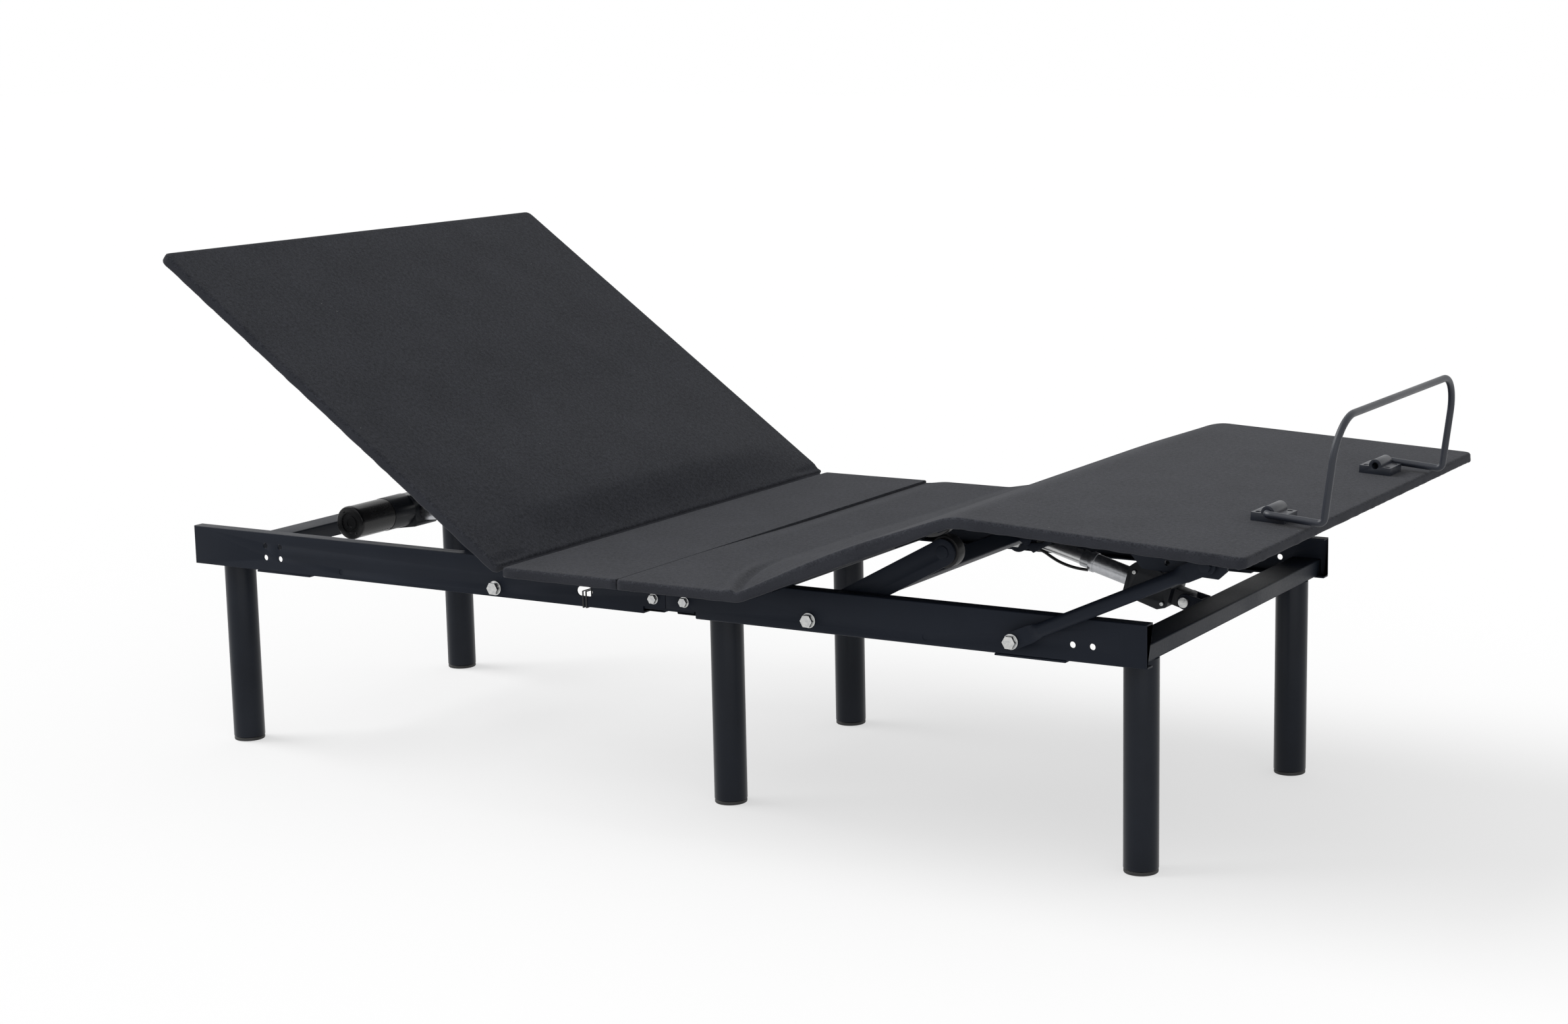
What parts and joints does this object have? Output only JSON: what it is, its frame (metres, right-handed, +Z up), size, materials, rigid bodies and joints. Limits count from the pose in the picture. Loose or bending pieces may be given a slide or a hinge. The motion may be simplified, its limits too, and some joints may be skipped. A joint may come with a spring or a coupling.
{
  "type": "adjustable bed base",
  "caption": "Adjustable bed base with felt-covered back, seat, thigh and leg panels on a steel frame, lift arms with drive units, round legs and a mattress retainer bar",
  "frame": {"origin": "on the floor under the middle of the object", "axes": "+X toward the foot end, +Y toward the far side, +Z up"},
  "size_m": [1.9945, 0.965, 0.8502],
  "materials": {
    "frame_steel": "satin powder coat, blue-black",
    "retainer_steel": "satin powder coat, dark slate",
    "leg_plastic": "matte black",
    "glide_plastic": "matte black",
    "felt": "charcoal felt",
    "zinc": "bright zinc plate",
    "guide_silver": "satin silver",
    "rod_steel": "polished rod",
    "drive_black": "semi-gloss black housing",
    "motor_black": "gloss black",
    "roller_plastic": "black nylon",
    "track_plastic": "black wear strip",
    "lead_rubber": "black sheath",
    "tie_nylon": "black nylon"
  },
  "bodies": {
    "base": {"rail_head_near": "frame_steel", "rail_head_far": "frame_steel", "rail_foot_near": "frame_steel", "rail_foot_far": "frame_steel", "rail_stiffeners": "frame_steel", "splice_plates": "frame_steel", "splice_washers": "zinc", "splice_bolts": "zinc", "beam_head": "frame_steel", "beams_mid": "frame_steel", "beam_foot": "frame_steel", "legs": "leg_plastic", "leg_glides": "glide_plastic", "seat_head_panel": "felt", "seat_foot_panel": "felt", "seat_screws": "zinc", "back_hinge_fixed": "frame_steel", "thigh_hinge_fixed": "frame_steel", "pivot_bolts": "zinc", "pivot_nuts": "zinc", "pivot_washers": "zinc", "drive_clevises": "frame_steel", "drive_clevis_pins": "zinc", "cable_ties": "tie_nylon"},
    "back": {"back_panel": "felt", "back_hinge_moving": "frame_steel", "back_tracks": "track_plastic"},
    "back_frame": {"back_arms": "frame_steel", "back_cross_tube": "frame_steel", "back_lift_bracket": "frame_steel"},
    "back_wheels": {"back_rollers": "roller_plastic"},
    "head_drive": {"head_gear_housing": "drive_black", "head_motor": "motor_black", "head_guide_tube": "guide_silver", "head_lead_screw": "zinc"},
    "head_rod": {"head_push_rod": "rod_steel", "head_rod_end": "frame_steel"},
    "thigh": {"thigh_panel": "felt", "thigh_hinge_moving": "frame_steel", "thigh_tracks": "track_plastic", "knee_hinge_fixed": "frame_steel"},
    "thigh_frame": {"thigh_arms": "frame_steel", "thigh_cross_tube": "frame_steel", "thigh_lift_bracket": "frame_steel"},
    "thigh_wheels": {"thigh_rollers": "roller_plastic"},
    "leg": {"leg_panel": "felt", "knee_hinge_moving": "frame_steel", "strut_brackets": "frame_steel", "retainer_sockets": "retainer_steel", "retainer_screws": "zinc"},
    "leg_struts": {"struts": "frame_steel"},
    "foot_drive": {"foot_gear_housing": "drive_black", "foot_motor": "motor_black", "foot_guide_tube": "guide_silver", "foot_lead_screw": "zinc"},
    "foot_rod": {"foot_push_rod": "rod_steel", "foot_rod_end": "frame_steel", "drive_lead": "lead_rubber"},
    "retainer": {"retainer_bar": "retainer_steel"}
  },
  "joints": [
    {"name": "back_lift", "type": "hinge", "parent": "base", "child": "back", "pos_m": [-0.269, 0, 0.38675], "axis": [0, 1, 0], "range_deg": [-35.2, 24.7]},
    {"name": "back_arm_swing", "type": "hinge", "parent": "base", "child": "back_frame", "pos_m": [-0.3722, 0, 0.3294], "axis": [0, 1, 0], "range_deg": [-41.69, 29.26]},
    {"name": "back_roller_spin", "type": "hinge", "parent": "back_frame", "child": "back_wheels", "pos_m": [-0.59577, 0, 0.55834], "axis": [0, 1, 0], "continuous": true},
    {"name": "head_drive_swing", "type": "hinge", "parent": "base", "child": "head_drive", "pos_m": [-0.909, 0.02, 0.3435], "axis": [0, -1, 0], "range_deg": [-9.52, 6.69]},
    {"name": "head_rod_slide", "type": "slide", "parent": "head_drive", "child": "head_rod", "axis": [0.9934, 0, 0.1149], "range_m": [-0.04556, 0.032]},
    {"name": "thigh_lift", "type": "hinge", "parent": "base", "child": "thigh", "pos_m": [0.159, 0, 0.38675], "axis": [0, -1, 0], "range_deg": [-21.77, 18.13]},
    {"name": "thigh_arm_swing", "type": "hinge", "parent": "base", "child": "thigh_frame", "pos_m": [0.2044, 0, 0.3331], "axis": [0, -1, 0], "range_deg": [-23.95, 19.95]},
    {"name": "thigh_roller_spin", "type": "hinge", "parent": "thigh_frame", "child": "thigh_wheels", "pos_m": [0.41689, 0, 0.4489], "axis": [0, 1, 0], "continuous": true},
    {"name": "knee_fold", "type": "hinge", "parent": "thigh", "child": "leg", "pos_m": [0.5067, 0, 0.52631], "axis": [0, -1, 0], "range_deg": [-20.47, 24.58]},
    {"name": "strut_swing", "type": "hinge", "parent": "base", "child": "leg_struts", "pos_m": [0.5481, 0, 0.3387], "axis": [0, -1, 0], "range_deg": [-22.77, 18.97]},
    {"name": "foot_drive_swing", "type": "hinge", "parent": "base", "child": "foot_drive", "pos_m": [0.661, 0, 0.337], "axis": [0, 1, 0], "range_deg": [-14.17, 11.8]},
    {"name": "foot_rod_slide", "type": "slide", "parent": "foot_drive", "child": "foot_rod", "axis": [-0.9626, 0, 0.2709], "range_m": [-0.04849, 0.0404]},
    {"name": "retainer_swing", "type": "hinge", "parent": "leg", "child": "retainer", "pos_m": [0.88377, 0, 0.5289], "axis": [0, -1, 0], "range_deg": [0, 110]}
  ],
  "couplings": [
    {"joint": "back_arm_swing", "follows": "back_lift", "ratio": 1.1839},
    {"joint": "head_drive_swing", "follows": "back_lift", "ratio": 0.27},
    {"joint": "head_rod_slide", "follows": "back_lift", "m_per_rad": 0.074},
    {"joint": "thigh_arm_swing", "follows": "thigh_lift", "ratio": 1.0991},
    {"joint": "knee_fold", "follows": "thigh_lift", "ratio": -1.128},
    {"joint": "strut_swing", "follows": "thigh_lift", "ratio": 1.045},
    {"joint": "foot_drive_swing", "follows": "thigh_lift", "ratio": 0.65},
    {"joint": "foot_rod_slide", "follows": "thigh_lift", "m_per_rad": 0.12735}
  ]
}
